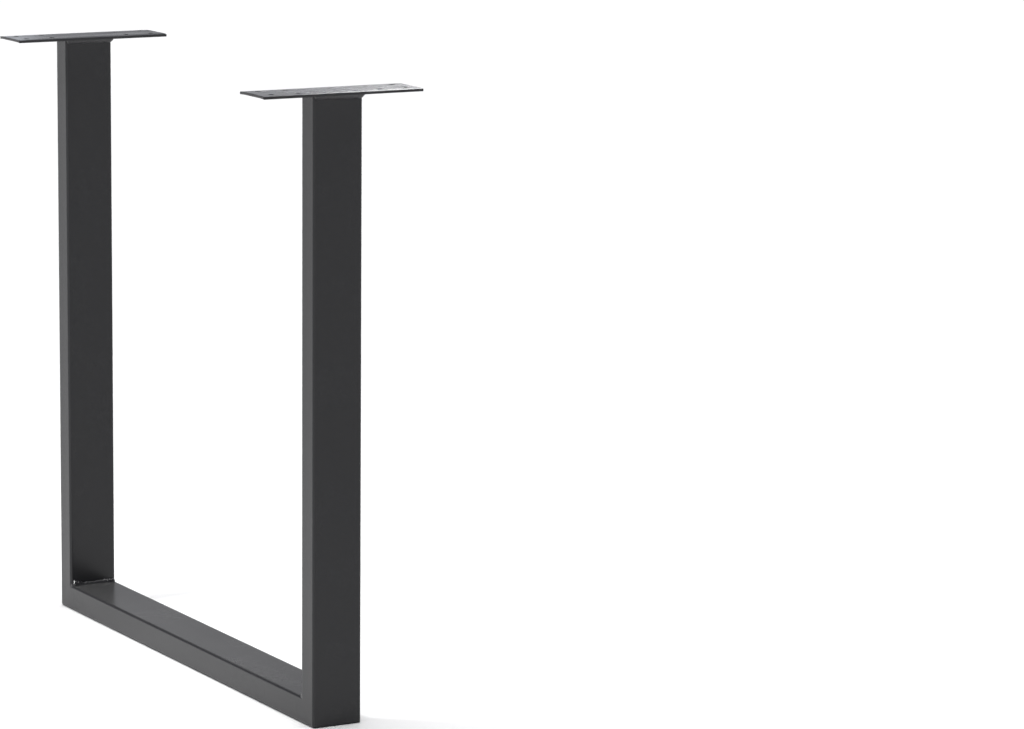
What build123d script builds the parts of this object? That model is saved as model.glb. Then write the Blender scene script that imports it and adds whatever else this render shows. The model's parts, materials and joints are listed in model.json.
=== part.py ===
from build123d import *
import os

# Table leg: a U-shaped frame of rectangular steel tube with a screw plate on each upright.
# X runs along the floor rail, Y across the leg and Z up. The origin is on the floor,
# under the middle of the rail. Sizes are in millimetres.

# Whole frame
frame_width = 690.0    # over the outer faces of the two uprights
frame_height = 710.0   # from the floor to the top of the plates

# Tube, the same stock in all three lengths
tube_width = 60.0         # across the leg
tube_depth = 30.0         # in the plane of the frame
tube_wall = 2.0
tube_inner_radius = 1.0   # inside the tube's long edges

# Outer bottom corners, where the weld on the mitre is ground to a round
ground_corner_radius = 3.0

# Screw plates
plate_length = 195.0
plate_width = 60.0
plate_thickness = 3.0
plate_corner_radius = 1.5
plate_edge_chamfer = 0.4

# Screw holes: two rows along the plate, each with an outer and an inner pair
screw_hole_diameter = 6.0
screw_row_spacing = 32.0
outer_pair_spacing = 164.0
inner_pair_spacing = 98.0

# Fillet weld between plate and upright
plate_weld_reach = 5.0   # out along the plate
plate_weld_drop = 6.5    # down the tube
plate_weld_crown = 0.5   # how far its face bulges

# Rippled bead along the inside of each bottom corner
bead_radius = 5.0
bead_end_radius = 6.2      # the larger pools where the weld starts and stops
bead_pool_pitch = 4.0
pool_sides = 12            # flats round the outline of a pool
bead_end_clearance = 1.0   # from each end of the bead to the tube's side

# Places that follow from the sizes above
tube_edge_radius = tube_inner_radius + tube_wall
plate_underside = frame_height - plate_thickness
upright_offset = (frame_width - tube_depth) / 2
inner_face_offset = frame_width / 2 - tube_depth

# The mitre planes lean outwards from the foot of each corner, facing the upright
left_mitre = Plane(origin=(-frame_width / 2, 0, 0), x_dir=(0, 1, 0), z_dir=(-1, 0, 1))
right_mitre = Plane(origin=(frame_width / 2, 0, 0), x_dir=(0, 1, 0), z_dir=(1, 0, 1))

os.makedirs("parts", exist_ok=True)


def tube_outline(plane, middle, size_x, size_y):
    """The outside of the tube's section, drawn on a plane."""
    with BuildSketch(plane) as outline:
        with Locations(middle):
            RectangleRounded(size_x, size_y, tube_edge_radius)
    return outline.sketch


def tube_section(plane, middle, size_x, size_y):
    """The tube's outline with its bore taken out, one wall inside it."""
    with BuildSketch(plane) as section:
        add(tube_outline(Plane.XY, middle, size_x, size_y))
        with Locations(middle):
            bore_x = size_x - 2 * tube_wall
            bore_y = size_y - 2 * tube_wall
            RectangleRounded(bore_x, bore_y, tube_inner_radius, mode=Mode.SUBTRACT)
    return section.sketch


upright_stock = (Plane.XY, (-upright_offset, 0), tube_depth, tube_width)
rail_stock = (Plane.YZ.offset(-frame_width / 2), (0, tube_depth / 2), tube_width, tube_depth)

# What is ground off each outer bottom corner: all that lies outside the round
with BuildSketch(Plane.XZ) as corner_shavings:
    with GridLocations(frame_width, 0, 2, 1):
        Rectangle(2 * ground_corner_radius, 2 * ground_corner_radius)
    with Locations((0, ground_corner_radius)):
        with GridLocations(frame_width - 2 * ground_corner_radius, 0, 2, 1):
            Circle(ground_corner_radius, mode=Mode.SUBTRACT)

# Uprights: tube cut square under the plate, mitred at the foot and ground round
with BuildPart() as left_upright:
    extrude(tube_section(*upright_stock), amount=plate_underside)
    split(bisect_by=left_mitre, keep=Keep.TOP)
    extrude(corner_shavings.sketch, amount=tube_width, both=True, mode=Mode.SUBTRACT)

with BuildPart() as right_upright:
    mirror(left_upright.part, about=Plane.YZ)

# Floor rail: the same tube, mitred at both ends to meet the uprights
with BuildPart() as floor_rail:
    extrude(tube_section(*rail_stock), amount=frame_width)
    split(bisect_by=left_mitre, keep=Keep.BOTTOM)
    split(bisect_by=right_mitre, keep=Keep.BOTTOM)
    extrude(corner_shavings.sketch, amount=tube_width, both=True, mode=Mode.SUBTRACT)

# Screw plates: flat bar centred on each upright, with broken edges and eight holes
with BuildPart() as left_plate:
    with BuildSketch(Plane.XY.offset(plate_underside)):
        with Locations((-upright_offset, 0)):
            RectangleRounded(plate_width, plate_length, plate_corner_radius)
    extrude(amount=plate_thickness)
    top_rim = left_plate.faces().sort_by(Axis.Z)[-1].edges()
    bottom_rim = left_plate.faces().sort_by(Axis.Z)[0].edges()
    chamfer(top_rim + bottom_rim, plate_edge_chamfer)
    for pair_spacing in (outer_pair_spacing, inner_pair_spacing):
        with Locations((-upright_offset, 0, frame_height)):
            with GridLocations(screw_row_spacing, pair_spacing, 2, 2):
                Hole(screw_hole_diameter / 2)

with BuildPart() as right_plate:
    mirror(left_plate.part, about=Plane.YZ)


def plate_weld_profile(start, outward):
    """The weld's upright section: a corner against tube and plate, closed by a bulging face."""
    plate_toe = Vector(plate_weld_reach, 0)
    tube_toe = Vector(0, -plate_weld_drop)
    face_normal = Vector(plate_weld_drop, -plate_weld_reach).normalized()
    crown = (plate_toe + tube_toe) / 2 + face_normal * plate_weld_crown
    section = Plane(origin=start, x_dir=outward, z_dir=outward.cross(Vector(0, 0, 1)))
    with BuildSketch(section) as profile:
        with BuildLine():
            Polyline(tube_toe, (0, 0), plate_toe)
            ThreePointArc(plate_toe, crown, tube_toe)
        make_face()
    return profile.sketch


# Plate welds: up one wide side, round the far narrow side and back down the other wide side.
# The near narrow side is left bare, and each end tapers off in a quarter turn.
weld_start_y = tube_edge_radius - tube_width / 2 + plate_weld_reach
weld_start = Vector(-upright_offset - tube_depth / 2, weld_start_y, plate_underside)
weld_end = Vector(-upright_offset + tube_depth / 2, weld_start_y, plate_underside)

with BuildPart() as left_plate_weld:
    with BuildLine() as weld_run:
        far_start = Vector(weld_start.X, tube_width / 2, plate_underside)
        far_end = Vector(weld_end.X, tube_width / 2, plate_underside)
        FilletPolyline(weld_start, far_start, far_end, weld_end, radius=tube_edge_radius)
    start_profile = plate_weld_profile(weld_start, Vector(-1, 0, 0))
    end_profile = plate_weld_profile(weld_end, Vector(1, 0, 0))
    sweep(start_profile, path=weld_run.line)
    revolve(start_profile, axis=Axis(weld_start, (0, 0, 1)), revolution_arc=90)
    revolve(end_profile, axis=Axis(weld_end, (0, 0, -1)), revolution_arc=90)

with BuildPart() as right_plate_weld:
    mirror(left_plate_weld.part, about=Plane.YZ)

# Corner beads: a row of overlapping weld pools, turned about the line where the tubes meet,
# with the tubes taken out so that the bead seats on their faces and rounded edges.
corner_line = Axis((-inner_face_offset, 0, tube_depth), (0, 1, 0))
bead_plane = Plane(origin=corner_line.position, x_dir=(0, 1, 0), z_dir=(1, 0, 0))
end_pool_offset = tube_width / 2 - bead_end_clearance - bead_end_radius
pool_gaps = max(2, round(2 * end_pool_offset / bead_pool_pitch))
pool_spacing = 2 * end_pool_offset / pool_gaps


def weld_pool(radius):
    """The outline that a pool is turned from: a polygon with a flat at its crest and ends."""
    half_side_angle = 180 / pool_sides
    RegularPolygon(radius, pool_sides, major_radius=False, rotation=half_side_angle)


with BuildPart() as left_corner_bead:
    with BuildSketch(bead_plane):
        with GridLocations(pool_spacing, 0, pool_gaps + 1, 1):
            weld_pool(bead_radius)
        with GridLocations(2 * end_pool_offset, 0, 2, 1):
            weld_pool(bead_end_radius)
        split(bisect_by=Plane.XZ, keep=Keep.TOP)
    revolve(axis=corner_line)
    extrude(tube_outline(*upright_stock), amount=plate_underside, mode=Mode.SUBTRACT)
    extrude(tube_outline(*rail_stock), amount=frame_width, mode=Mode.SUBTRACT)

with BuildPart() as right_corner_bead:
    mirror(left_corner_bead.part, about=Plane.YZ)

pieces = {
    "left_upright": left_upright,
    "right_upright": right_upright,
    "floor_rail": floor_rail,
    "left_plate": left_plate,
    "right_plate": right_plate,
    "left_plate_weld": left_plate_weld,
    "right_plate_weld": right_plate_weld,
    "left_corner_bead": left_corner_bead,
    "right_corner_bead": right_corner_bead,
}
for name, piece in pieces.items():
    piece.part.label = name
    export_step(piece.part, f"parts/{name}.step")
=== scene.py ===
# %% [markdown]
# # A welded table leg in black powder coat
# The leg is a U of rectangular steel tube, mitred and welded at the floor, with a drilled
# plate welded across the top of each upright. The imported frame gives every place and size,
# but its solids are made for fit and motion and have few facets. So each piece gets a skin
# of its own in the same place: smooth tube walls, plates with broken edges, rippled welds,
# and a black powder coat over all of it.

# %% Load the frame
import json

import bmesh
import bpy
import numpy as np
from mathutils import Matrix, Vector

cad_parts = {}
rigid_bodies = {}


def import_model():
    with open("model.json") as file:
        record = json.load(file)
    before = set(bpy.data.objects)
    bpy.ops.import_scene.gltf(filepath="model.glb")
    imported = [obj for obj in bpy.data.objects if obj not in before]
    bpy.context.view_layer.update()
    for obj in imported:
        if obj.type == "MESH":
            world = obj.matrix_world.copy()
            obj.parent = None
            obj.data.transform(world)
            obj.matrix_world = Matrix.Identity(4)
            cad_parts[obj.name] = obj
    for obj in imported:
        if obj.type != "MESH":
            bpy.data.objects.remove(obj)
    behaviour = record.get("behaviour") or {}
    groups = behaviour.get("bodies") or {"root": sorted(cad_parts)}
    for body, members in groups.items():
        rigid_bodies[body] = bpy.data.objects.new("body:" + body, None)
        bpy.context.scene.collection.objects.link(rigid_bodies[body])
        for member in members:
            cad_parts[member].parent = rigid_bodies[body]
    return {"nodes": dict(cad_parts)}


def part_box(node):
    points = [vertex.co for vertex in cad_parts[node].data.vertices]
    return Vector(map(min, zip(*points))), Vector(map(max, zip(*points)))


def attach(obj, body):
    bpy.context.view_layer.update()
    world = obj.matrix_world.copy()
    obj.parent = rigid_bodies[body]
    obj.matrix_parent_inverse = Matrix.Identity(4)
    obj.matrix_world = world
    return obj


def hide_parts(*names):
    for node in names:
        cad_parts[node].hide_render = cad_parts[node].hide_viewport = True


for startup_object in list(bpy.data.objects):
    bpy.data.objects.remove(startup_object)

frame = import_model()
bpy.context.view_layer.update()
print("nodes in the frame:", ", ".join(sorted(frame["nodes"])))

# %% [markdown]
# ## Sizes
# Sizes could be typed in again from the drawing, but then two copies would have to agree.
# Here they come from the frame: the boxes of the tubes and plates say where their faces are.
# Only what a box can't show, such as the tube's edge radius, is a value of its own. Blender
# works in metres, so a value in millimetres is written with the factor MM.

# %% Places from the frame
MM = 0.001

_, rail_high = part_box("floor_rail")
upright_low, upright_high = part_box("right_upright")
plate_low, plate_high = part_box("right_plate")

outer_face = upright_high.x                  # from the middle of the leg to its outer faces
tube_depth = upright_high.x - upright_low.x  # in the plane of the frame
tube_width = upright_high.y - upright_low.y  # across the leg
plate_underside = upright_high.z
upright_middle = (upright_low.x + upright_high.x) / 2
sides = {"left": -1, "right": 1}             # the sign of X on each side

print(f"outer faces at {outer_face / MM:.0f} mm")
print(f"tube {tube_width / MM:.0f} x {tube_depth / MM:.0f} mm")

# %% Sizes that a box can't show
edge_radius = 3 * MM     # along the tube's long edges
tube_wall = 2 * MM
ground_radius = 3 * MM   # where the weld on the outer corner is ground round
flat_sink = 0.10 * MM    # how far rolled tube sinks in the middle of a flat

print(f"edge radius {edge_radius / MM:.0f} mm, wall {tube_wall / MM:.0f} mm")

# %% [markdown]
# ## From arrays to a mesh
# A tube, a bead or a plate edge is a grid of points: one parameter runs along the piece and
# the other round it. Such a mesh could be built vertex by vertex in a loop, which is slow to
# run and hard to read. Numpy works out the whole grid at once, and a few helpers turn grids
# into a closed mesh. They merge the points that fall together at poles and seams, and turn
# every face outwards.

# %% Quads of a grid


def grid_quads(rows, columns, close_rows, close_columns):
    """Corner numbers of the quads between neighbouring points of a grid.

    Point (r, c) has the number r times columns plus c. A closed direction also joins its
    last line to its first.
    """
    r = np.arange(rows if close_rows else rows - 1)[:, None]
    c = np.arange(columns if close_columns else columns - 1)[None, :]
    next_r, next_c = (r + 1) % rows, (c + 1) % columns
    corners = [
        r * columns + c,
        r * columns + next_c,
        next_r * columns + next_c,
        next_r * columns + c,
    ]
    return np.stack(np.broadcast_arrays(*corners), axis=-1).reshape(-1, 4)


print("a grid of 3 by 4 points has", len(grid_quads(3, 4, False, False)), "quads")
print("closed both ways it has", len(grid_quads(3, 4, True, True)))

# %% Grids into one mesh


def quad_mesh(name, grids):
    """One mesh from a list of (points, close_rows, close_columns) grids."""
    points = np.concatenate([g.reshape(-1, 3) for g, _, _ in grids])
    starts = np.cumsum([0] + [g.shape[0] * g.shape[1] for g, _, _ in grids[:-1]])
    quads = np.concatenate([
        grid_quads(g.shape[0], g.shape[1], close_rows, close_columns) + start
        for (g, close_rows, close_columns), start in zip(grids, starts)
    ])
    mesh = bpy.data.meshes.new(name)
    mesh.vertices.add(len(points))
    mesh.vertices.foreach_set("co", points.astype(np.float32).ravel())
    mesh.loops.add(quads.size)
    mesh.loops.foreach_set("vertex_index", quads.astype(np.int32).ravel())
    mesh.polygons.add(len(quads))
    mesh.polygons.foreach_set("loop_start", np.arange(0, quads.size, 4, dtype=np.int32))
    mesh.update(calc_edges=True)
    return mesh


def store(mesh, mask, values):
    """Keeps one value per point on the mesh, where a finish can read it by name."""
    stored = mesh.attributes.new(mask, "FLOAT", "POINT")
    stored.data.foreach_set("value", values.astype(np.float32))


print("mesh helpers ready")

# %% Closing a mesh
same_point = 0.002 * MM     # points nearer than this become one
sliver_edge = 0.001 * MM    # edges shorter than this are dissolved


def close_mesh(mesh):
    """Merges points that fall together, turns faces outwards and counts open edges.

    An edge is open where the number of faces on it isn't two.
    """
    work = bmesh.new()
    work.from_mesh(mesh)
    bmesh.ops.remove_doubles(work, verts=work.verts, dist=same_point)
    bmesh.ops.dissolve_degenerate(work, edges=work.edges, dist=sliver_edge)
    bmesh.ops.recalc_face_normals(work, faces=work.faces)
    work.to_mesh(mesh)
    work.free()
    edge_of_loop = np.empty(len(mesh.loops), np.int32)
    mesh.loops.foreach_get("edge_index", edge_of_loop)
    faces_on_edge = np.bincount(edge_of_loop, minlength=len(mesh.edges))
    return np.count_nonzero(faces_on_edge != 2)


print(f"points within {same_point / MM} mm are merged")

# %% One object per piece
up_narrowness = 8    # the higher, the more level a face has to be to count as facing up


def make_skin(name, grids, masks=None, sharp=30):
    """One closed object from grids of points.

    masks gives, for each named mask, one array of values per grid. A mask "up" is added: the
    upward part of each point's normal, to the power of up_narrowness. Edges whose faces meet
    at more than the angle sharp, in degrees, stay sharp, and the rest is smooth.
    """
    mesh = quad_mesh(name, grids)
    for mask, arrays in (masks or {}).items():
        spread = [np.broadcast_to(a, g.shape[:2]).ravel() for a, (g, _, _) in zip(arrays, grids)]
        store(mesh, mask, np.concatenate(spread))
    open_edges = close_mesh(mesh)

    normals = np.empty((len(mesh.vertices), 3), np.float32)
    mesh.vertices.foreach_get("normal", normals.ravel())
    store(mesh, "up", np.clip(normals[:, 2], 0, 1) ** up_narrowness)

    mesh.shade_smooth()
    mesh.set_sharp_from_angle(angle=np.radians(sharp))
    piece = bpy.data.objects.new(name, mesh)
    bpy.context.scene.collection.objects.link(piece)
    print(f"{name}: {len(mesh.polygons)} faces, {open_edges} open edges")
    return piece


def stand_in_for(piece, node, finish):
    """The piece is shown instead of a frame node, and takes its finish."""
    piece.data.materials.append(finish)
    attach(piece, "root")
    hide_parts(node)


print("a piece rides on the body root and replaces its node")

# %% [markdown]
# ## Shader sums as Python sums
# A finish is built from noise, masks and sums of them. Wired by hand, each sum is a node with
# two links, and the thought gets lost in the wires. Here a small class wraps an output socket,
# so that a sum written in Python adds its Math node by itself, and one method adds any other
# node: its settings first, then what its sockets hold.

# %% A value on its way through the nodes


class Signal:
    """An output socket that can be added, subtracted and multiplied."""

    def __init__(self, finish, socket):
        self.finish = finish
        self.socket = socket

    def _sum(self, operation, *values):
        """One Math node on these values, in this order."""
        return self.finish.node("Math", {"operation": operation}, dict(enumerate(values)))

    def __add__(self, other):
        return self._sum("ADD", self, other)

    def __sub__(self, other):
        return self._sum("SUBTRACT", self, other)

    def __mul__(self, other):
        return self._sum("MULTIPLY", self, other)

    def __radd__(self, other):
        return self._sum("ADD", other, self)

    def __rsub__(self, other):
        return self._sum("SUBTRACT", other, self)

    def __rmul__(self, other):
        return self._sum("MULTIPLY", other, self)


print("sums ready: +, - and *, with a plain number on either side")

# %% A finish under construction


class Finish:
    """A material, or the sky, whose nodes are added one by one."""

    def __init__(self, owner, coordinates="Object"):
        self.owner = owner
        self.owner.use_nodes = True
        self.tree = self.owner.node_tree
        self.tree.nodes.clear()
        self.place = self.node("TexCoord", output=coordinates)

    def node(self, kind, settings=None, sockets=None, output=0):
        """Adds a shader node, applies its settings, fills its sockets and gives one output."""
        made = self.tree.nodes.new("ShaderNode" + kind)
        for setting, value in (settings or {}).items():
            if setting == "stops":
                for element, (position, colour) in zip(made.color_ramp.elements, value):
                    element.position, element.color = position, colour
            else:
                setattr(made, setting, value)
        for key, value in (sockets or {}).items():
            if isinstance(value, Signal):
                self.tree.links.new(value.socket, made.inputs[key])
            else:
                made.inputs[key].default_value = value
        return Signal(self, made.outputs[output]) if made.outputs else None

    def noise(self, size, detail=2.0, stretch=(1, 1, 1), shift=(0, 0, 0)):
        """Soft noise around 0 whose patches are about this size, longer where stretch is more."""
        scale = [1 / (size * s) for s in stretch]
        spot = self.node("Mapping", {}, {"Vector": self.place, "Scale": scale, "Location": shift})
        sockets = {"Vector": spot, "Scale": 1.0, "Detail": detail, "Roughness": 0.5}
        return self.node("TexNoise", {"noise_dimensions": "3D"}, sockets, "Fac") - 0.5

    def mask(self, name):
        """A value that was stored on the mesh's points."""
        return self.node("Attribute", {"attribute_name": name}, {}, "Fac")

    def blend(self, share, first, second):
        """A colour that goes from first to second as share goes from 0 to 1.

        A Mix node has sockets for every kind of value. Counted from 0, those for colours are
        its inputs 6 and 7 and its output 2.
        """
        return self.node("Mix", {"data_type": "RGBA"}, {0: share, 6: first, 7: second}, 2)

    def surface(self, height, sockets):
        """The finished material: height is how far the surface stands out, in metres."""
        relief = self.node("Bump", {}, {"Height": height, "Strength": 1.0, "Distance": 1.0})
        shader = self.node("BsdfPrincipled", {}, {**sockets, "Normal": relief})
        self.node("OutputMaterial", {}, {"Surface": shader})
        print(f"{self.owner.name}: {len(self.tree.nodes)} nodes")
        return self.owner


print("shader helpers ready")

# %% [markdown]
# ## The powder coat
# The tubes are black satin powder coat. Powder melts into a skin that is never quite flat: it
# has the fine dimples called orange peel, over slow waves left by the steel and the spray gun.
# A flat black would be one node, but it would look like paper, because gloss is what shows a
# black thing's form. So the colour hardly changes, while bump and roughness do: dimples of
# about two millimetres, waves of a few centimetres, patches that are a little duller, and
# thinner, shinier powder along the tube's edges, where the melt draws back. Beside a mitre the
# steel was dressed with an abrasive before coating, and fine lines of that show through. Faces
# that look up get a thin grey film, thicker in some patches: dust, and painted light as well,
# which makes the tops lighter.

# %% Colours and gloss of the coat
BLACK = (0.013, 0.013, 0.0145, 1)
WORN_BLACK = (0.026, 0.026, 0.028, 1)
# Grey of dust, and painted light as well: it makes the tops of the tubes lighter
DUST_AND_TOP_LIGHT = (0.25, 0.25, 0.245, 1)
# Bluish grey of dust, and painted light as well: it makes the plate tops lighter, in streaks
BLUE_DUST_AND_TOP_LIGHT = (0.24, 0.25, 0.28, 1)
COAT_IOR = 1.38
WELD_IOR = 1.45    # powder that ran together on a weld is glossier

print(f"the black reflects {BLACK[0]:.1%} of the light, and worn {WORN_BLACK[0]:.1%}")

# %% Powder coat on the tubes
peel_height = 0.008 * MM
grit_height = 0.001 * MM
wave_height = 0.09 * MM
sanding_height = 0.007 * MM

coat = Finish(bpy.data.materials.new("satin_powder_coat"))
peel = coat.noise(2.2 * MM, 2.0)
grit = coat.noise(0.5 * MM, 1.0)
waves = coat.noise(45 * MM, 1.0, stretch=(1, 1, 1.6))
patches = coat.noise(70 * MM, 3.0, shift=(3, 1, 7))
sanding = coat.noise(0.9 * MM, 2.0, stretch=(1, 9, 1))
thin_edge = coat.mask("edge")
dressed = coat.mask("dressed")
# Dust and painted light: faces that look up turn a lighter grey, more in some patches
dust_and_top_light = coat.mask("up") * (0.19 + patches * 0.08)
thinness = (patches + 0.5) * 0.35 + thin_edge * 0.5

coat_height = peel * peel_height + grit * grit_height + waves * wave_height
coat_height = coat_height + dressed * sanding * sanding_height
powder_coat = coat.surface(coat_height, {
    "Base Color": coat.blend(dust_and_top_light, coat.blend(thinness, BLACK, WORN_BLACK), DUST_AND_TOP_LIGHT),
    "Roughness": 0.26 + patches * 0.10 + grit * 0.05 - thin_edge * 0.05 - dressed * 0.03,
    "IOR": COAT_IOR,
})

# %% [markdown]
# ## The tubes
# Rectangular tube is rolled from strip, so its long edges are round and its flats sink by a
# hair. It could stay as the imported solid, but that one has few facets in its round edges,
# and they catch the light. Here a rounded rectangle is carried along the tube, outside up and
# inside back down, which closes the walls at both ends with no extra faces. Where two tubes
# meet they share the mitre plane: a point at depth d below the outer face ends a distance d
# from the corner.

# %% A rounded rectangle


def rounded_rectangle(half_a, half_b, radius, per_corner=9, per_flat=9):
    """Points round a rectangle with round corners, and how far into a corner each one is.

    Each corner is a quarter circle about its own centre, and each flat is a straight run of
    points, closest together beside the corners. The second array is the sine of twice the
    angle within the corner: 1 in the middle of a corner and 0 on the flats.
    """
    turn = np.linspace(0, np.pi / 2, per_corner)
    run = (1 - np.cos(np.linspace(0, np.pi, per_flat + 2)[1:-1])) / 2
    corners = []
    for quarter, (sign_a, sign_b) in enumerate(((1, 1), (-1, 1), (-1, -1), (1, -1))):
        angle = turn + quarter * np.pi / 2
        centre = np.array([sign_a * (half_a - radius), sign_b * (half_b - radius)])
        corners.append(centre + radius * np.stack([np.cos(angle), np.sin(angle)], -1))
    loop, bend = [], []
    for here, following in zip(corners, corners[1:] + corners[:1]):
        start, end = here[-1], following[0]
        loop += [here, start + run[:, None] * (end - start)]
        bend += [np.sin(2 * turn), np.zeros(per_flat)]
    return np.concatenate(loop), np.concatenate(bend)


def ground(along):
    """How far below the outer face the ground round lies, a distance along from the corner.

    It is the radius minus the square root of radius squared minus reach squared, where the
    reach is what is left of the radius at that distance.
    """
    reach = np.clip(ground_radius - along, 0, ground_radius)
    return ground_radius - np.sqrt(ground_radius ** 2 - reach ** 2)


outline, _ = rounded_rectangle(tube_depth / 2, tube_width / 2, edge_radius)
print("points round the tube:", len(outline))

# %% The tube's section


def tube_sections():
    """Depth below the outer face and place across, round the outside and round the bore.

    Each flat of the outside sinks by the squared cosine across it, so that it is deepest in
    the middle and level at the edges. The narrow flats sink half as much as the wide ones.
    """
    middle = tube_depth / 2
    outside, bend = rounded_rectangle(middle, tube_width / 2, edge_radius)
    bore, _ = rounded_rectangle(
        middle - tube_wall, tube_width / 2 - tube_wall, edge_radius - tube_wall)

    a, b = outside.T
    nearly_flat = edge_radius / 9    # a point as near as this to a flat is on it
    on_wide = np.abs(a) > middle - nearly_flat
    on_narrow = np.abs(b) > tube_width / 2 - nearly_flat
    a = a - np.sign(a) * on_wide * flat_sink * np.cos(np.pi * b / tube_width) ** 2
    b = b - np.sign(b) * on_narrow * flat_sink / 2 * np.cos(np.pi * a / tube_depth) ** 2
    return [(middle + a, b), (middle + bore[:, 0], bore[:, 1])], bend


(outside_depth, _), (bore_depth, _) = tube_sections()[0]
print(f"outside {np.ptp(outside_depth) / MM:.2f} mm deep, bore {np.ptp(bore_depth) / MM:.2f} mm")

# %% Tube walls between two ends
near_rows = np.concatenate([np.linspace(0, 2.4, 10), [3.2, 5, 8, 12, 18, 27]]) * MM
wide_rows = 13             # in wide steps, along the middle of a tube
wide_rows_start = 0.07     # shares of the length between which they lie
wide_rows_end = 0.93
dressed_reach = 9 * MM     # how far from a mitre the steel was dressed
dressed_falloff = 1.5


def tube_shell(length, both_mitred):
    """Tube walls as a grid: depth below the outer face, place across, distance along.

    Each row is a rounded rectangle. The rows go along the outside and come back along the
    bore. A mitred end starts as far along as the point is deep, but never before the middle
    of the ground round. Depth then grows to what the grinding leaves. The mask "dressed"
    falls from 1 on the mitre to 0 at its reach, with the power of its falloff.
    """
    def from_mitre(along):
        return np.minimum(along, length - along) if both_mitred else along

    sections, bend = tube_sections()
    near = near_rows / length
    if both_mitred:
        wide = np.linspace(wide_rows_start, wide_rows_end, wide_rows)
        steps = np.concatenate([near, wide, 1 - near[::-1]])
    else:
        steps = np.concatenate([near, np.linspace(wide_rows_start, 1, wide_rows + 1)])

    middle_of_round = ground_radius * (1 - np.sqrt(0.5))
    rows = []
    for depth, across in sections:
        start = np.maximum(depth, middle_of_round)
        end = length - start if both_mitred else np.full_like(depth, length)
        along = start + steps[:, None] * (end - start)
        deep = np.maximum(depth, ground(from_mitre(along)))
        rows.append(np.stack([deep, np.broadcast_to(across, deep.shape), along], -1))
    grid = np.concatenate([rows[0], rows[1][::-1]])

    off_mitre = np.abs(from_mitre(grid[..., 2]) - grid[..., 0])
    dressed = np.clip(1 - off_mitre / dressed_reach, 0, 1) ** dressed_falloff
    outside_edge = np.broadcast_to(bend, (len(steps), len(bend)))
    edge = np.concatenate([outside_edge, np.zeros_like(outside_edge)])
    return grid, {"edge": [edge], "dressed": [dressed]}


print("rows close to a mitre:", len(near_rows))

# %% Uprights and rail
upright_grid, upright_masks = tube_shell(plate_underside, False)
for side, sign in sides.items():
    depth, across, along = np.moveaxis(upright_grid, -1, 0)
    points = np.stack([sign * (outer_face - depth), across, along], -1)
    upright = make_skin(f"{side}_upright_tube", [(points, True, True)], upright_masks)
    stand_in_for(upright, f"{side}_upright", powder_coat)

rail_grid, rail_masks = tube_shell(2 * outer_face, True)
depth, across, along = np.moveaxis(rail_grid, -1, 0)
points = np.stack([along - outer_face, across, depth], -1)
rail = make_skin("floor_rail_tube", [(points, True, True)], rail_masks)
stand_in_for(rail, "floor_rail", powder_coat)

# %% [markdown]
# ## The screw plates
# Each upright ends in a piece of flat bar with eight screw holes, in two rows. Cutting holes
# with a Boolean leaves long thin faces that shade badly. Instead the plate is a mosaic of
# eight cells, one per hole. In a cell, one parameter goes round the hole and the other goes
# from the cell's border in to the rim, down through the hole and back out below. Neighbouring
# cells have the same points on their shared border, so they merge into one skin. A last
# strip closes the outside, with broken edges that catch a thin line of light. A weld shrinks
# as it cools and pulls the plate with it, so the plate's long edges are bent down a little.

# %% Sizes of a plate
hole_radius = 3 * MM
row_spacing = 32 * MM
outer_pair = 164 * MM
inner_pair = 98 * MM
edge_break = 0.5 * MM
rim_break = 0.5 * MM
plate_corner = 1.5 * MM
weld_pull = 0.6 * MM       # how far shrinking welds draw the plate's long edges down
pull_start = 2 * MM        # from the tube's face to where the plate starts to bend

plate_half = np.array([plate_high.x - plate_low.x, plate_high.y - plate_low.y]) / 2
plate_top = plate_high.z
plate_thickness = plate_high.z - plate_underside
flat_half = plate_half - edge_break           # to where the flat of the plate ends
flat_corner = plate_corner - edge_break

print(f"plate {2 * plate_half[1] / MM:.0f} x {2 * plate_half[0] / MM:.0f} mm, "
      f"{plate_thickness / MM:.0f} mm thick")

# %% Borders and corners of a cell
never_zero = 1e-9    # metres, so that a distance can be divided by


def eased(low, high, count=18):
    """Points from low to high, closest together at both ends, by a half turn of a cosine."""
    return low + (high - low) * (1 - np.cos(np.linspace(0, np.pi, count))) / 2


def joined(runs):
    """Runs of points one after another, with each shared end kept once."""
    return np.concatenate([run[:-1] for run in runs[:-1]] + [runs[-1]])


def round_the_border(xs, ys):
    """Points along the four sides of a rectangle, each corner once."""
    return np.concatenate([
        np.stack(np.broadcast_arrays(xs[:-1], ys[0]), -1),
        np.stack(np.broadcast_arrays(xs[-1], ys[:-1]), -1),
        np.stack(np.broadcast_arrays(xs[:0:-1], ys[-1]), -1),
        np.stack(np.broadcast_arrays(xs[0], ys[:0:-1]), -1),
    ])


def soften_corner(points):
    """Points beyond the centre of a corner's round are drawn in to that round.

    Their distance from the centre is scaled down to the round's radius.
    """
    centre = np.sign(points) * (flat_half - flat_corner)
    beyond = points - centre
    outside = np.all(np.abs(points) > flat_half - flat_corner, axis=-1)
    reach = np.maximum(np.linalg.norm(beyond, axis=-1), never_zero)
    scale = np.where(outside & (reach > flat_corner), flat_corner / reach, 1.0)
    return np.where(outside[..., None], centre + beyond * scale[..., None], points)


print("points along one side of a cell:", len(eased(0, 1)))

# %% Where the cells lie
y_split = (outer_pair + inner_pair) / 4    # half way between an outer and an inner hole
x_lines = [-flat_half[0], 0, flat_half[0]]
y_lines = [-flat_half[1], -y_split, 0, y_split, flat_half[1]]
x_runs = [eased(a, b) for a, b in zip(x_lines, x_lines[1:])]
y_runs = [eased(a, b) for a, b in zip(y_lines, y_lines[1:])]
hole_x = np.array([-1, 1]) * row_spacing / 2
hole_y = np.array([-outer_pair, -inner_pair, inner_pair, outer_pair]) / 2

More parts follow.
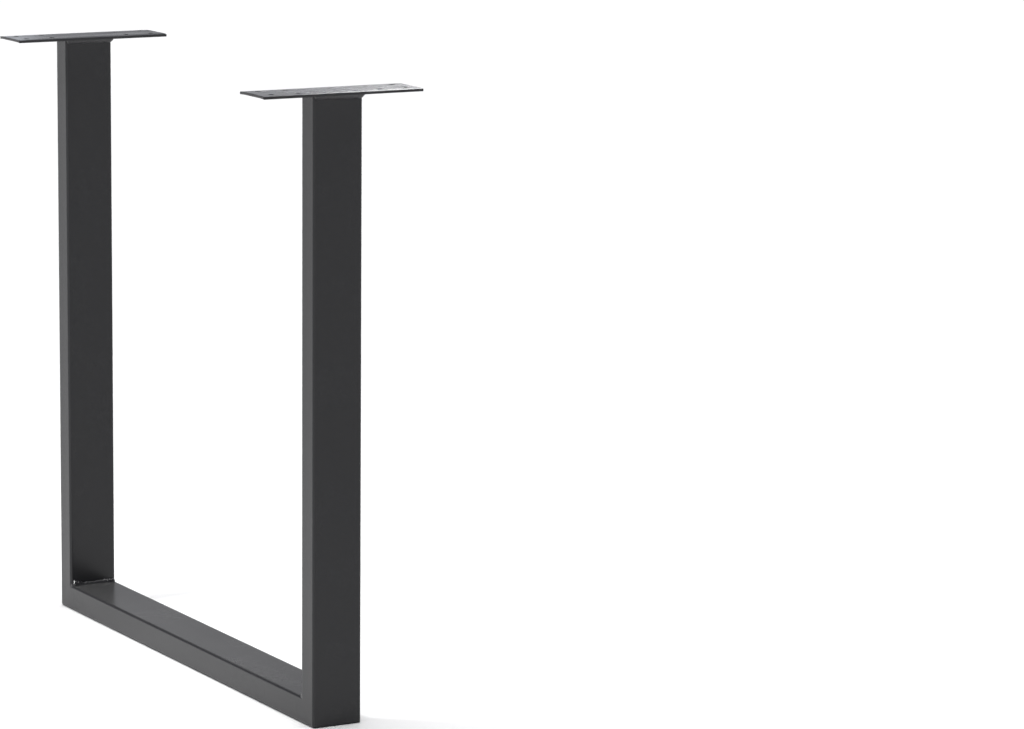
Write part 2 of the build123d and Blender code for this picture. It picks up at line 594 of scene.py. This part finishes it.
print("lines between cells in mm:", [round(float(y) / MM, 1) for y in y_lines])

# %% Edges and bend of a plate


def round_break(size, steps=4):
    """A quarter round from flat to upright: how far in from the edge, and how far down."""
    turn = np.linspace(0, np.pi / 2, steps)
    return size * (1 - np.sin(turn)), size * (1 - np.cos(turn))


def draw_down(grid):
    """Bends the flaps on both sides of the welds down.

    Past the weld's toe a point sinks with the square of its distance from the toe.
    """
    toe = tube_depth / 2 + pull_start
    past = np.clip((np.abs(grid[..., 0]) - toe) / (plate_half[0] - toe), 0, None)
    return grid - np.stack([0 * past, 0 * past, weld_pull * past ** 2], -1)


def below_top(points, drop):
    """Rows of flat points as a grid, each row its own drop below the plate's top."""
    height = np.broadcast_to((plate_top - drop)[:, None], points.shape[:2])
    return draw_down(np.concatenate([points, height[..., None]], -1))


print("rows in a broken edge:", len(round_break(edge_break)[0]))

# %% Cells and outside strip
on_flat = np.array([0, 0.04, 0.3, 0.6, 0.85, 0.97])    # shares of the way in to the rim


def hole_cell(xs, ys, hole):
    """One cell's grid, from its border in to the rim, down the hole and back out below.

    On the flats a point lies a share of the way from the border to the rim, straight
    towards the hole. On the rim it follows the quarter round of the rim's break.
    """
    inward, downward = round_break(rim_break)
    level = 0 * on_flat
    share = np.concatenate([on_flat, np.ones(2 * len(inward)), on_flat[::-1]])
    rim = np.concatenate([level + rim_break, inward, inward[::-1], level + rim_break])
    drop = [level, downward, plate_thickness - downward[::-1], plate_thickness + level]
    border = soften_corner(round_the_border(xs, ys))
    away = (border - hole) / np.linalg.norm(border - hole, axis=-1, keepdims=True)
    on_rim = hole + away * (hole_radius + rim[:, None, None])
    return below_top(border + share[:, None, None] * (on_rim - border), np.concatenate(drop))


def outside_strip():
    """The grid that closes the plate: over the top break, down the side and under.

    Each point steps straight out from the flat's border, or out along a corner's round.
    """
    border = soften_corner(round_the_border(joined(x_runs), joined(y_runs)))
    outward = border - np.clip(border, -(plate_half - plate_corner), plate_half - plate_corner)
    outward = outward / np.linalg.norm(outward, axis=-1, keepdims=True)
    inward, downward = round_break(edge_break)
    step_out = edge_break - np.concatenate([inward, inward[::-1]])
    drop = np.concatenate([downward, plate_thickness - downward[::-1]])
    return below_top(border + step_out[:, None, None] * outward, drop)


cells = [
    hole_cell(xs, ys, np.array([x, y]))
    for xs, x in zip(x_runs, hole_x) for ys, y in zip(y_runs, hole_y)
]
strip = outside_strip()
print(f"{len(cells)} cells of {cells[0].shape[0]} x {cells[0].shape[1]} points")
print(f"a strip of {strip.shape[0]} x {strip.shape[1]} points")

# %% [markdown]
# ## The coat on the plates
# The plates are coated like the tubes, and could share their finish. But they are seen almost
# edge on, where even black reflects strongly, and what shows there is the bar under the coat.
# So they get a finish of their own: fine lines along the bar from rolling, long streaks where
# plates were slid over each other, in gloss, in height and in a bluish grey on the top, which
# is dust and painted light as well, and a slow bend that makes one end brighter.

# %% Powder coat on the plates
bar_peel_height = 0.006 * MM
rolling_height = 0.012 * MM
streak_height = 0.12 * MM
bend_height = 0.20 * MM

bar = Finish(bpy.data.materials.new("coated_flat_bar"))
bar_peel = bar.noise(1.8 * MM, 2.0)
rolling = bar.noise(1.6 * MM, 3.0, stretch=(1, 30, 1))
streaks = bar.noise(6 * MM, 3.0, stretch=(1, 11, 1), shift=(1, 8, 3))
slow_bend = bar.noise(38 * MM, 2.0, stretch=(1, 2.2, 1), shift=(5, 2, 0))
bar_edge = bar.mask("edge")
# Dust and painted light: the top of a plate turns a bluish grey, in streaks and patches
bar_dust_and_top_light = bar.mask("up") * (0.035 + streaks * 0.10 + slow_bend * 0.06)
bar_thinness = (rolling + 0.5) * 0.5 + bar_edge * 0.3

bar_height = bar_peel * bar_peel_height + rolling * rolling_height
bar_height = bar_height + streaks * streak_height + slow_bend * bend_height
plate_coat = bar.surface(bar_height, {
    "Base Color": bar.blend(bar_dust_and_top_light, bar.blend(bar_thinness, BLACK, WORN_BLACK), BLUE_DUST_AND_TOP_LIGHT),
    "Roughness": 0.28 + slow_bend * 0.20 + streaks * 0.28 + rolling * 0.18 - bar_edge * 0.04,
    "IOR": COAT_IOR,
})

# %% Left and right plate
# Handling rubs the outside of a plate and not the rims of its holes, so the mask "edge" is 0
# on the cells and 1 on the strip
worn_edges = [np.zeros((1, 1))] * len(cells) + [np.ones((1, 1))]
for side, sign in sides.items():
    middle = np.array([sign * upright_middle, 0, 0])
    grids = [(grid + middle, False, True) for grid in cells + [strip]]
    plate = make_skin(f"{side}_screw_plate", grids, {"edge": worn_edges})
    stand_in_for(plate, f"{side}_plate", plate_coat)

# %% [markdown]
# ## Slow random curves
# A weld is never even: its width and its ripples wander. Random numbers at every point would
# look like gravel, so a few are drawn at wide steps and a smooth curve goes through them. The
# generator starts from a fixed seed, so each run gives the same weld.

# %% Wandering values


def ease(part):
    """Goes from 0 to 1 and is level at both: three times the square minus twice the cube."""
    return part * part * (3 - 2 * part)


def wander(generator, where, step, size):
    """A smooth random curve: values drawn every step, eased from one to the next.

    There are enough of them that the last place, too, lies between two.
    """
    low = where.min()
    knots = generator.uniform(-1, 1, int(np.ceil((where.max() - low) / step)) + 3)
    spot = (where - low) / step
    index = np.floor(spot).astype(int)
    share = ease(spot - index)
    return size * (knots[index] * (1 - share) + knots[index + 1] * share)


print("a quarter of the way, ease gives", ease(0.25))

# %% A row of weld pools
spare_pools = 3    # drawn before the first one that shows, so that a row never runs short


def pool_tops(generator, where, pitch, spread, roundness):
    """The tops of a row of weld pools: 1 in the middle of a pool, lower between two.

    Each pool is the pitch long, more or less by a share up to the spread. Its top is the
    square root of 1 minus the roundness times the squared distance from its middle, where
    that distance is 1 at its borders.
    """
    low = where.min() - spare_pools * pitch
    count = int((where.max() - low) / (pitch * (1 - spread))) + 2 * spare_pools + 2
    borders = low + np.cumsum(pitch * (1 + generator.uniform(-spread, spread, count)))
    number = np.interp(where, borders, np.arange(count))
    part = number - np.floor(number)
    return np.sqrt(1 - roundness * (2 * part - 1) ** 2)


def egg_end(past):
    """The share of a full section that is left, where past goes from 0 to 1 over an end.

    It is the square root of 1 minus past squared, as on a circle.
    """
    return np.sqrt(1 - past ** 2)


print(f"half way over its end, a weld has {egg_end(0.5):.2f} of its section left")

# %% [markdown]
# ## The coated welds
# Powder runs together on a weld's ripples and cures glossier than on the flats, with small
# pits and beads of spatter under it. It could share the tubes' finish, but that gloss is why
# a black weld sparkles. It is highest where the weld pooled, at its ends, so the finish reads
# the mask "pooled" that the beads store.

# %% Powder coat on the welds
lump_height = 0.055 * MM
pit_height = 0.012 * MM

weld = Finish(bpy.data.materials.new("coated_weld_metal"))
weld_lumps = weld.noise(1.5 * MM, 3.0)
weld_pits = weld.noise(0.55 * MM, 2.0)
weld_patches = weld.noise(6 * MM, 2.0, shift=(2, 9, 4))
coated_weld = weld.surface(weld_lumps * lump_height + weld_pits * pit_height, {
    "Base Color": weld.blend(weld_patches + 0.5, BLACK, WORN_BLACK),
    "Roughness": 0.36 - weld.mask("pooled") * 0.20 + weld_patches * 0.14 + weld_pits * 0.06,
    "IOR": WELD_IOR,
})

# %% [markdown]
# ## The bead in each inside corner
# Where the mitred tubes meet inside the frame, a bead runs across the whole width. It is a
# row of pools that froze one over another. At both ends it is larger: where the weld started
# its pools are deep and slow, and where it stopped the last pool piled up and sank into a
# shallow crater, which mirrors the lamp. A displaced cylinder would cut through the tubes, so
# the bead is its own surface: a quarter-round section about the corner, whose radius rises
# and falls with the pools, and whose back is buried in the metal.

# %% Sizes of a corner bead
bead_reach = 3.2 * MM
bead_stop_reach = 6.6 * MM    # at -Y, where the weld stopped and the pool piled up
bead_start_reach = 5.3 * MM
bead_half = tube_width / 2 - 0.2 * MM
bead_end_length = 5.5 * MM
bead_straight = bead_half - bead_end_length
swell_start = 12 * MM         # from the middle to where the bead starts to grow
swell_run = 10 * MM           # over which it grows
bury_depth = 0.4 * MM         # of a weld's back below the faces that it joins

print(f"bead {2 * bead_half / MM:.1f} mm long")

# %% Sizes of pools, rings and lumps
bead_pitch = 3.8 * MM     # from one pool to the next
bead_pitch_spread = 0.22
bead_roundness = 0.7
bead_bow = 1.9 * MM       # how far a pool's middle runs ahead of its toes
pool_relief = 0.14        # share of the reach that falls away between two pools
start_relief = 0.24       # added to it at the start end
ring_pitch = 1.3 * MM     # of the fine rings within the pools
ring_height = 0.04 * MM
flattening = 0.3          # power that flattens the quarter-round section

# The step and the size of what wanders along the bead
pool_sizes = (3.6 * MM, 0.09)        # share by which the pools differ in reach
ring_steps = (3 * MM, 2.0)           # radians by which the rings fall out of step
leaning = (3.5 * MM, 0.45 * MM)      # lumps nearer to one tube than to the other
shoulders = (2.4 * MM, 0.22 * MM)    # lumps on the bead's two shoulders

print(f"about {2 * bead_half / bead_pitch:.0f} pools in a bead")

# %% How far a bead reaches from the corner


def swell_at(across):
    """0 along the middle of the bead and 1 at its ends, eased in between."""
    return ease(np.clip((np.abs(across) - swell_start) / swell_run, 0, 1))


def corner_reach(generator, across, angle):
    """The bead's radius about the corner, at each place across and each angle.

    It is the bead's own reach, larger at the ends, times the tops of the pools, which differ
    in size, plus fine rings and slow lumps. Pools and rings bow along the weld with the sine
    of twice the angle. The relief, which is how much falls away between two pools, grows
    towards the start end. Last, the radius is divided by a power of cosine plus sine, which
    flattens the section most in its middle.
    """
    bowed = across + bead_bow * np.sin(2 * angle)
    tops = pool_tops(generator, bowed, bead_pitch, bead_pitch_spread, bead_roundness)
    sizes = wander(generator, bowed, *pool_sizes)
    rings = np.sin(2 * np.pi * bowed / ring_pitch + wander(generator, bowed, *ring_steps))

    swell = swell_at(across)
    end_reach = np.where(across < 0, bead_stop_reach, bead_start_reach)
    reach = bead_reach + (end_reach - bead_reach) * swell
    relief = np.where(across < 0, pool_relief, pool_relief + start_relief * swell)
    reach = reach * (1 - relief + relief * tops + sizes) + ring_height * rings
    reach = reach + wander(generator, across, *leaning) * np.cos(2 * angle)
    reach = reach + wander(generator, across, *shoulders) * np.sin(4 * angle)
    return reach / (np.cos(angle) + np.sin(angle)) ** flattening


print("growth at 0, 17 and 25 mm:", swell_at(np.array([0, 17, 25]) * MM).round(2))

# %% One corner bead
end_rows, straight_rows = 30, 280    # along each end and along the middle
face_points = 19                     # from the upright to the rail


def corner_bead(seed):
    """Distance out from the upright, place across, and height over the rail.

    The face is the reach times the cosine and the sine of the angle. Heel points, buried in
    the tubes and deeper where the tubes' own edges are round, close the section behind it.
    Towards both ends the whole section shrinks, like the end of an egg, to a point that lies
    inside the tube.
    """
    cap = bead_straight + bead_end_length * np.sin(np.linspace(0, np.pi / 2, end_rows))
    straight = np.linspace(-bead_straight, bead_straight, straight_rows)[1:-1]
    across = np.concatenate([-cap[::-1], straight, cap])[:, None]
    angle = np.linspace(0, np.pi / 2, face_points)[None, :]
    reach = corner_reach(np.random.default_rng(seed), across, angle)

    shrink = egg_end(np.clip((np.abs(across) - bead_straight) / bead_end_length, 0, 1))
    on_edge = np.clip(np.abs(across) - tube_width / 2 + edge_radius, 0, edge_radius)
    heel = -(bury_depth + edge_radius - np.sqrt(edge_radius ** 2 - on_edge ** 2))
    out, up = reach * np.cos(angle), reach * np.sin(angle)
    out = np.concatenate([heel, out[:, :1], out, heel], 1)
    up = np.concatenate([heel, heel, up, up[:, -1:]], 1)
    out = heel + shrink * (out - heel)
    up = heel + shrink * (up - heel)
    return np.stack([out, np.broadcast_to(across, out.shape), up], -1)


bead_seeds = {"left": 11, "right": 23}
bead_grids = {side: corner_bead(seed) for side, seed in bead_seeds.items()}
for side, grid in bead_grids.items():
    print(f"{side} bead: {grid.shape[0]} rows of {grid.shape[1]} points")

# %% The crater at the stop end
crater_facing = np.array([0.51, -0.595, 0.62])  # out from the upright, across, up
crater_depth = 0.6 * MM
crater_press = 0.75    # share of what stands out past the crater's plane that goes back


def press_crater(points):
    """Leaves a nearly flat face at the stop end.

    Distances along the crater's direction are measured from where the bead's straight part
    ends. The plane lies the crater's depth behind the farthest point, and what stands out
    past it is pushed back by its share.
    """
    at_stop = points[..., 1] < 0
    along = (points + np.array([0, bead_straight, 0])) @ crater_facing
    plane = along.max(initial=0, where=at_stop) - crater_depth
    past_plane = np.clip(along - plane, 0, None) * at_stop
    return points - crater_press * past_plane[..., None] * crater_facing


for side, grid in bead_grids.items():
    pressed = np.linalg.norm(grid - press_crater(grid), axis=-1)
    print(f"{side} bead: pressed in by up to {pressed.max() / MM:.2f} mm")

# %% Both corner beads
inner_face = outer_face - tube_depth
for side, sign in sides.items():
    pooled = {"pooled": [swell_at(bead_grids[side][..., 1])]}
    out, across, up = np.moveaxis(press_crater(bead_grids[side]), -1, 0)
    points = np.stack([sign * (inner_face - out), across, rail_high.z + up], -1)
    bead = make_skin(f"{side}_rippled_bead", [(points, False, True)], pooled, sharp=60)
    stand_in_for(bead, f"{side}_corner_bead", coated_weld)

# %% [markdown]
# ## The weld under each plate
# A fillet weld holds the plate: up one wide side of the tube, round the far narrow side and
# back along the other wide side. It was laid hot and smooth, so it shows as a softly rippled
# band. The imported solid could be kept, but its face is the same all the way round. Here its
# section, a triangle with a bulging face, is carried round the tube's outline, swells and
# thins a little on the way, and fades out at both ends.

# %% Sizes of a plate weld
weld_out = 5.0 * MM           # out along the plate
weld_drop = 6.5 * MM          # down the tube
weld_fill = 0.94              # share of these that the weld keeps on average
weld_bulge = 0.6 * MM
bulge_out, bulge_down = 0.8, 0.6    # the way that the face bulges
weld_fade = 3.0 * MM          # over which it shrinks to nothing at each end
weld_pitch = 3.4 * MM
weld_pitch_spread = 0.25
weld_roundness = 0.8
weld_bow = 1.1 * MM
weld_ripple = 0.34 * MM       # height of the ripples
ripple_level = 0.7            # the height of a pool's top that adds nothing

# The step and the size of what wanders along the weld
weld_out_wander = (9 * MM, 0.30 * MM)
weld_drop_wander = (7 * MM, 0.38 * MM)
weld_bulge_wander = (5 * MM, 0.20 * MM)

print(f"plate weld {weld_out / MM:.1f} mm out, {weld_drop / MM:.1f} mm down")

# %% Round the tube


def outline_walk(count):
    """Places and outward directions round the tube, from one wide side to the other.

    The walk starts half way round a near edge, goes up a wide side, round a quarter circle,
    along the far narrow side, round another quarter circle and back down, and ends half way
    round the other near edge. The distance walked tells which of the seven runs it is on.
    """
    half_a, half_b, r = tube_depth / 2, tube_width / 2, edge_radius
    wide, narrow, bend = 2 * (half_b - r), 2 * (half_a - r), r * np.pi / 2
    runs = [bend / 2, wide, bend, narrow, bend, wide, bend / 2]
    stops = np.cumsum([0] + runs)
    walked = np.linspace(0, stops[-1], count)
    done = [np.clip(walked - stop, 0, run) for stop, run in zip(stops, runs)]
    turned = (done[0] + done[2] + done[4] + done[6]) / r - np.pi / 4
    facing = np.stack([-np.cos(turned), np.sin(turned)], -1)
    centre_a = -(half_a - r) + done[3]
    centre_b = -(half_b - r) + done[1] - done[5]
    return np.stack([centre_a, centre_b], -1) + r * facing, facing, walked


print(f"the weld's path is {outline_walk(2)[2][-1] / MM:.0f} mm long")

# %% One plate weld
weld_rows = 330
weld_face_points = 13    # from the tube to the plate


def plate_weld(seed):
    """The weld about the tube's middle line, with height 0 at the plate's underside.

    The section goes from the toe on the tube to the toe on the plate, along a straight line
    plus a bulge with the sine of the share, greatest half way. Both reaches wander, and
    ripples bow along the weld. At each end the section shrinks to a point inside the metal.
    """
    generator = np.random.default_rng(seed)
    place, facing, walked = outline_walk(weld_rows)
    share = np.linspace(0, 1, weld_face_points)[None, :]
    along = walked[:, None]
    bowed = along + weld_bow * np.sin(np.pi * share)
    tops = pool_tops(generator, bowed, weld_pitch, weld_pitch_spread, weld_roundness)

    out_reach = weld_out * weld_fill + wander(generator, along, *weld_out_wander)
    down_reach = weld_drop * weld_fill + wander(generator, along, *weld_drop_wander)
    bulge = weld_bulge + wander(generator, along, *weld_bulge_wander)
    bulge = bulge + weld_ripple * (tops - ripple_level)
    out = out_reach * share + bulge * np.sin(np.pi * share) * bulge_out
    down = down_reach * (1 - share) + bulge * np.sin(np.pi * share) * bulge_down

    to_end = np.clip(np.minimum(along, walked[-1] - along) / weld_fade, 0, 1)
    fade = egg_end(1 - to_end)
    heel = np.full_like(along, bury_depth)
    out = np.concatenate([-heel, -heel, out, out[:, -1:]], 1)
    up = np.concatenate([heel, -down[:, :1], -down, heel], 1)
    out = -bury_depth + fade * (out + bury_depth)
    up = bury_depth + fade * (up - bury_depth)
    flat = place[:, None, :] + out[..., None] * facing[:, None, :]
    return np.concatenate([flat, up[..., None]], -1)


weld_seeds = {"left": 31, "right": 47}
weld_grids = {side: plate_weld(seed) for side, seed in weld_seeds.items()}
for side, grid in weld_grids.items():
    print(f"{side} plate weld: {grid.shape[0]} rows of {grid.shape[1]} points")

# %% Both plate welds
for side, sign in sides.items():
    about, across, up = np.moveaxis(weld_grids[side], -1, 0)
    points = np.stack([sign * (upright_middle + about), across, plate_underside + up], -1)
    seam = make_skin(f"{side}_plate_fillet", [(points, False, True)], sharp=50)
    stand_in_for(seam, f"{side}_plate_weld", coated_weld)

# %% [markdown]
# ## The floor
# The leg stands on a plain pale floor, so wide that its edge lies past the picture. One even
# white would do, but a little unevenness, as in paper, keeps it from looking like nothing. It
# lies a hair below the leg, so that the two never share a face.

# %% A plain pale floor
floor_reach = 40.0
floor_drop = 0.2 * MM
paper_grain = 0.02 * MM
PALE = (0.90, 0.90, 0.90, 1)
PALER = (0.93, 0.93, 0.93, 1)

floor_corners = floor_reach * np.array([(-1, -1, 0), (1, -1, 0), (1, 1, 0), (-1, 1, 0)])
floor_mesh = bpy.data.meshes.new("floor")
floor_mesh.from_pydata(floor_corners.tolist(), [], [(0, 1, 2, 3)])
floor = bpy.data.objects.new("floor", floor_mesh)
floor.location.z = -floor_drop
bpy.context.scene.collection.objects.link(floor)

paper = Finish(bpy.data.materials.new("pale_floor"))
paper_tone = paper.blend(paper.noise(0.4, 2.0) + 0.5, PALE, PALER)
pale_floor = paper.surface(paper.noise(0.01, 2.0) * paper_grain, {
    "Base Color": paper_tone,
    "Roughness": 0.8,
})
floor_mesh.materials.append(pale_floor)

# %% [markdown]
# ## The light
# Black gloss shows what it mirrors, so each light has its task. One large lamp would do for
# the form, but it would leave the plates and the beads dull. A wide soft sun from overhead
# makes the floor even. A lamp in front, above the leg, gives the beads their sparkle. Behind
# the leg, where the flat tops of the plates mirror them, stand three dim panels: a wide one
# for the near plate, a narrow one higher up that only its bent-down front edge mirrors, and
# a small bluish one for the far plate. The sky fades from pale near the floor to dark
# overhead, which gives round edges their dark line.

# %% Sun and panels


def add_light(name, kind, energy, place, target, **settings):
    """A light that stands at a place, turned to a target, and that the camera can't see."""
    data = bpy.data.lights.new(name, kind)
    data.energy = energy
    for setting, value in settings.items():
        setattr(data, setting, value)
    lamp = bpy.data.objects.new(name, data)
    bpy.context.scene.collection.objects.link(lamp)
    direction = Vector(target) - Vector(place)
    turn = direction.to_track_quat("-Z", "Y").to_matrix().to_4x4()
    lamp.matrix_world = Matrix.Translation(place) @ turn
    lamp.visible_camera = False
    print(f"{name}: strength {energy}, {direction.length:.2f} m from its target")


left_bead_end = (-0.315, -0.03, 0.03)
near_plate = (0.33, 0, 0.71)
far_plate = (-0.33, -0.075, 0.71)

add_light("overhead", "SUN", 3.2, (0, 0, 4), (0, 0, 0), angle=np.radians(28))
add_light("sparkle_lamp", "AREA", 9.4, (-0.315, -0.84, 1.41), left_bead_end,
          shape="SQUARE", size=0.245)
add_light("wide_panel", "AREA", 0.25, (-0.62, 0.60, 1.055), near_plate,
          color=(0.92, 0.95, 1.0), shape="RECTANGLE", size=0.53, size_y=0.28)
add_light("rim_panel", "AREA", 0.22, (-0.62, 0.67, 1.19), near_plate,
          spread=np.radians(60), shape="RECTANGLE", size=0.26, size_y=0.14)
add_light("end_panel", "AREA", 0.09, (-1.19, 0.22, 0.90), far_plate,
          color=(0.85, 0.91, 1.0), shape="RECTANGLE", size=0.16, size_y=0.2)

# %% Sky
pale_below = (0.05, (1.0, 1.01, 1.06, 1))     # height and colour where the fade starts
dark_above = (0.27, (0.13, 0.13, 0.14, 1))    # and where it ends

sky = Finish(bpy.data.worlds.new("soft_sky"), "Generated")
sky_height = sky.node("SeparateXYZ", {}, {0: sky.place}, "Z")
sky_tone = sky.node("ValToRGB", {"stops": [pale_below, dark_above]}, {"Fac": sky_height}, "Color")
sky_light = sky.node("Background", {}, {"Color": sky_tone, "Strength": 1.0})
sky.node("OutputWorld", {}, {"Surface": sky_light})
bpy.context.scene.world = sky.owner
bpy.context.scene.view_settings.view_transform = "Standard"
print("sky:", len(sky.tree.nodes), "nodes")

# %% [markdown]
# ## The camera
# The picture was taken from far off with a long lens, so the leg's lines stay almost
# parallel. A camera could be placed by eye, but then no edge would fall quite right. This one
# stands at a place solved from the leg's straight edges. Turning left by the yaw, down by the
# pitch and over by the roll gives its three directions, and the focal length in pixels gives
# the lens.

# %% Camera
picture_width = 1024
focal_pixels = 4437.8
camera_place = Vector((4.61170, -2.20334, 1.24837))
yaw, pitch, roll = 1.05431, 0.17297, -0.00878

forward = Vector((-np.sin(yaw) * np.cos(pitch), np.cos(yaw) * np.cos(pitch), -np.sin(pitch)))
level = Vector((np.cos(yaw), np.sin(yaw), 0))
down = forward.cross(level)
right = np.cos(roll) * level + np.sin(roll) * down
up = np.sin(roll) * level - np.cos(roll) * down

camera_data = bpy.data.cameras.new("camera")
camera_data.sensor_width = 36
camera_data.lens = focal_pixels * camera_data.sensor_width / picture_width
camera_data.clip_end = 200
camera = bpy.data.objects.new("camera", camera_data)
bpy.context.scene.collection.objects.link(camera)
turned = Matrix((right, up, -forward)).transposed().to_4x4()
camera.matrix_world = Matrix.Translation(camera_place) @ turned
bpy.context.scene.camera = camera
print(f"camera {camera_data.lens:.0f} mm, {camera_place.length:.1f} m from the leg's foot")

# %% [markdown]
# At the end the view layer is brought up to date, so that every object's place is current.

# %% Bring the scene up to date
bpy.context.view_layer.update()
